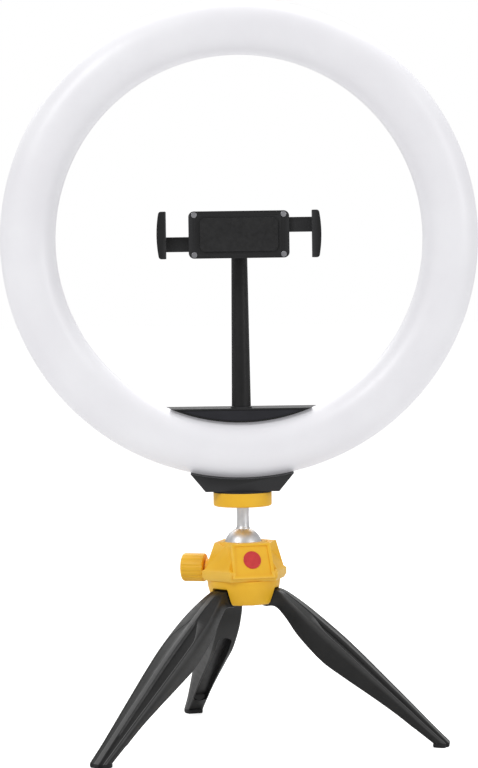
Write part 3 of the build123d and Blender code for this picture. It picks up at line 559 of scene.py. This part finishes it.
def skin(rings):
    """A closed mesh through rings of points, with an end cap on each side."""
    count = len(rings[0])
    faces = [tuple(range(count))]
    for j in range(len(rings) - 1):
        for i in range(count):
            k = (i + 1) % count
            faces.append((j * count + i, j * count + k, (j + 1) * count + k, (j + 1) * count + i))
    faces.append(tuple(reversed(range((len(rings) - 1) * count, len(rings) * count))))
    return plain_mesh("skin", [point for ring in rings for point in ring], faces)


def make_leg(side):
    """One ridged leg and the rubber pad under its end."""
    hinge = JOINTS["leg_" + side + "_fold"]
    across = Vector(hinge["axis"])
    outward = across.cross(UP)
    if outward.dot(Vector(hinge["pos_m"]) - Vector((0, AXIS_Y, 0))) < 0:
        outward = -outward
    axis = Vector((0, AXIS_Y, 0))
    facing = -1 if side == "right" else 1

    def both_sides(*shape):
        """The whole outline, with the leaf-shaped recess on the leg's front side only."""
        front = [(facing * x, h) for x, h in leg_outline(*shape, *LEAF_SIDE)]
        back = [(-facing * x, h) for x, h in leg_outline(*shape, *PLAIN_SIDE)]
        return front + list(reversed(back[1:-1]))

    def section(whole, base, direction):
        """A ring of points around one cross-section."""
        spots = [(x, base[0] + direction[0] * h, base[1] + direction[1] * h) for x, h in whole]
        return [axis + (outward * r + UP * z + across * x) * MM for x, r, z in spots]

    def painted_highlight(leaf):
        """How much painted highlight each point of a section gets."""
        front = [value * leaf if i in RIM_POINTS else value for i, value in enumerate(RIDGE_HIGHLIGHT)]
        back = [0 if i in RIM_POINTS else value for i, value in enumerate(RIDGE_HIGHLIGHT)]
        return front + list(reversed(back[1:-1]))

    pivot_r, lug_top, _, lug_bottom, *lug_shape = LEG_STATIONS[0]
    pivot_z = (lug_top + lug_bottom) / 2
    first = both_sides(2 * LUG_R, *lug_shape, 0, 0)
    rings, shine = [], []
    for angle in LUG_ANGLES:
        share = cos(radians(angle))
        flat = [(x, h * share) for x, h in first]
        shine += [0] * len(flat)
        rings.append(section(flat, (pivot_r - LUG_R * sin(radians(angle)), pivot_z - LUG_R * share), (0, 1)))
    for step in range((len(LEG_STATIONS) - 1) * STATION_STEPS + 1):
        place = step / STATION_STEPS
        ro, zo, ri, zi, half, inner_half, crown = between(LEG_STATIONS, place)
        thick = sqrt((ro - ri) ** 2 + (zo - zi) ** 2)
        leaf = smooth((place - LEAF_FROM) / (LEAF_FULL - LEAF_FROM))
        slot = min(1.0, max(0.0, min(place - SLOT_FROM, SLOT_TO - place) / SLOT_RAMP))
        outline = both_sides(thick, half, inner_half, crown, leaf, slot)
        # Painted highlight on the ridge, rim and shoulders, fading in after the first station.
        shine += [value * smooth(place - 1) for value in painted_highlight(smooth(3 * leaf))]
        rings.append(section(outline, (ri, zi), ((ro - ri) / thick, (zo - zi) / thick)))
    body = "leg_" + side
    mesh = skin(rings)
    # Stores the painted highlight of every point for the leg's material.
    mesh.attributes.new("painted_highlight", "FLOAT", "POINT").data.foreach_set("value", shine)
    add_piece("ridged_leg_" + side, tidy(mesh, LEG_SHARP_ANGLE), body, "leg_black", [body])

    def sole(grow, height):
        """The leg's end outline, grown about its middle, at a height over the table."""
        sized = [(x * grow, thick / 2 + (h - thick / 2) * grow) for x, h in outline]
        return section(sized, (ri, height), (1, 0))

    pad = tidy(skin([sole(grow, height) for grow, height in PAD_SECTIONS]), LEG_SHARP_ANGLE)
    add_piece("rubber_foot_" + side, pad, body, "rubber_black", ["foot_pad_" + side])


# ---- floor, light and camera ----
# Brightness that only the camera sees on the floor, and that only the object sees in the sky.
FLOOR_GLOW = 0.7
FLOOR_HALF = 8.0
SKY_LIGHT = 0.52
# Each softbox: place, what it faces, width and height in metres, and watts.
SOFTBOXES = {
    "key": ((-1.1, -1.3, 1.4), RING, (0.6, 0.6), 12),
    "fill": ((1.5, -1.1, 0.8), RING, (0.5, 1.0), 6),
    "top": ((0.1, 0.4, 1.6), RING, (1.2, 0.8), 16),
    "rim": ((-0.2, 1.3, 1.2), (0, 0, 0.05), (2.0, 0.6), 9),
}


def scaled(nodes, links, share, low, high):
    """A value that runs from low to high with the share."""
    node = nodes.new("ShaderNodeMapRange")
    node.inputs["To Min"].default_value = low
    node.inputs["To Max"].default_value = high
    links.new(share, node.inputs["Value"])
    return node.outputs["Result"]


def make_floor():
    half = FLOOR_HALF
    corners = [(-half, -half, 0), (half, -half, 0), (half, half, 0), (-half, half, 0)]
    floor = bpy.data.objects.new("floor", plain_mesh("floor", corners, [(0, 1, 2, 3)]))
    bpy.context.scene.collection.objects.link(floor)
    it = Finish("pale_floor").set(Emission_Color=(1, 1, 1, 1))
    it.colour(it.noise(400 * MM), srgb(206, 206, 206), srgb(212, 212, 212))
    seen = it.nodes.new("ShaderNodeLightPath").outputs["Is Camera Ray"]
    it.links.new(scaled(it.nodes, it.links, seen, 0.0, FLOOR_GLOW), it.shader.inputs["Emission Strength"])
    it.roughness(it.noise(200 * MM), 0.6, 0.7)
    floor.data.materials.append(it.material)


def softbox(name, place, target, size, power):
    light = bpy.data.lights.new(name, "AREA")
    light.shape = "RECTANGLE"
    light.size, light.size_y = size
    light.energy = power
    lamp = bpy.data.objects.new(name, light)
    bpy.context.scene.collection.objects.link(lamp)
    lamp.location = place
    lamp.rotation_mode = "QUATERNION"
    lamp.rotation_quaternion = (Vector(target) - Vector(place)).to_track_quat("-Z", "Y")


def make_lights():
    world = bpy.data.worlds.new("studio")
    world.use_nodes = True
    nodes, links = world.node_tree.nodes, world.node_tree.links
    sky = nodes["Background"]
    sky.inputs["Color"].default_value = (1, 1, 1, 1)
    seen = nodes.new("ShaderNodeLightPath").outputs["Is Camera Ray"]
    links.new(scaled(nodes, links, seen, SKY_LIGHT, 1.0), sky.inputs["Strength"])
    bpy.context.scene.world = world
    for name, setting in SOFTBOXES.items():
        softbox(name, *setting)


# Metres, millimetres and degrees.
CAMERA_DISTANCE = 1.670
CAMERA_LENS = 143.6
CAMERA_PITCH = 2.71
CAMERA_ROLL = 0.8
CAMERA_SENSOR = 36
AIM_LEFT = 1.10 * MM


def make_camera():
    """Level with the ring's centre, looking slightly down, with a slight roll."""
    camera = bpy.data.objects.new("camera", bpy.data.cameras.new("camera"))
    bpy.context.scene.collection.objects.link(camera)
    camera.data.lens = CAMERA_LENS
    camera.data.sensor_width = CAMERA_SENSOR
    forward = Vector((-AIM_LEFT / CAMERA_DISTANCE, 1, -tan(radians(CAMERA_PITCH)))).normalized()
    right = forward.cross(UP).normalized()
    up = right.cross(forward)
    c, s = cos(radians(CAMERA_ROLL)), sin(radians(CAMERA_ROLL))
    right, up = right * c - up * s, up * c + right * s
    turn = Matrix((right, up, -forward)).transposed().to_4x4()
    camera.matrix_world = Matrix.Translation(RING - Vector((0, CAMERA_DISTANCE, 0))) @ turn
    bpy.context.scene.camera = camera


SIDES = ("left", "right", "rear")
DETAILED = {"front_diffuser"} | {name + side for name in ("leg_", "foot_pad_") for side in SIDES}
# How far each node's edges are rounded, in millimetres, where it isn't the usual amount.
USUAL_EDGE = 0.2
SOFT_EDGE = {"head_housing": 0.5, "leg_hub": 0.5, "clamp_knob": 0.3, "rear_housing": 0.4}
SOFT_EDGE |= dict.fromkeys(("control_cover", "clamp_cover", "clamp_back", "stem_post"), 0)

make_diffuser()
for side in SIDES:
    make_leg(side)
for node in frame["nodes"]:
    if node not in DETAILED:
        piece = refined(node, SOFT_EDGE.get(node, USUAL_EDGE) * MM)
        if node in SPRINGS:
            stretch(piece)
make_floor()
make_lights()
make_camera()
bpy.context.scene.view_settings.view_transform = "Standard"
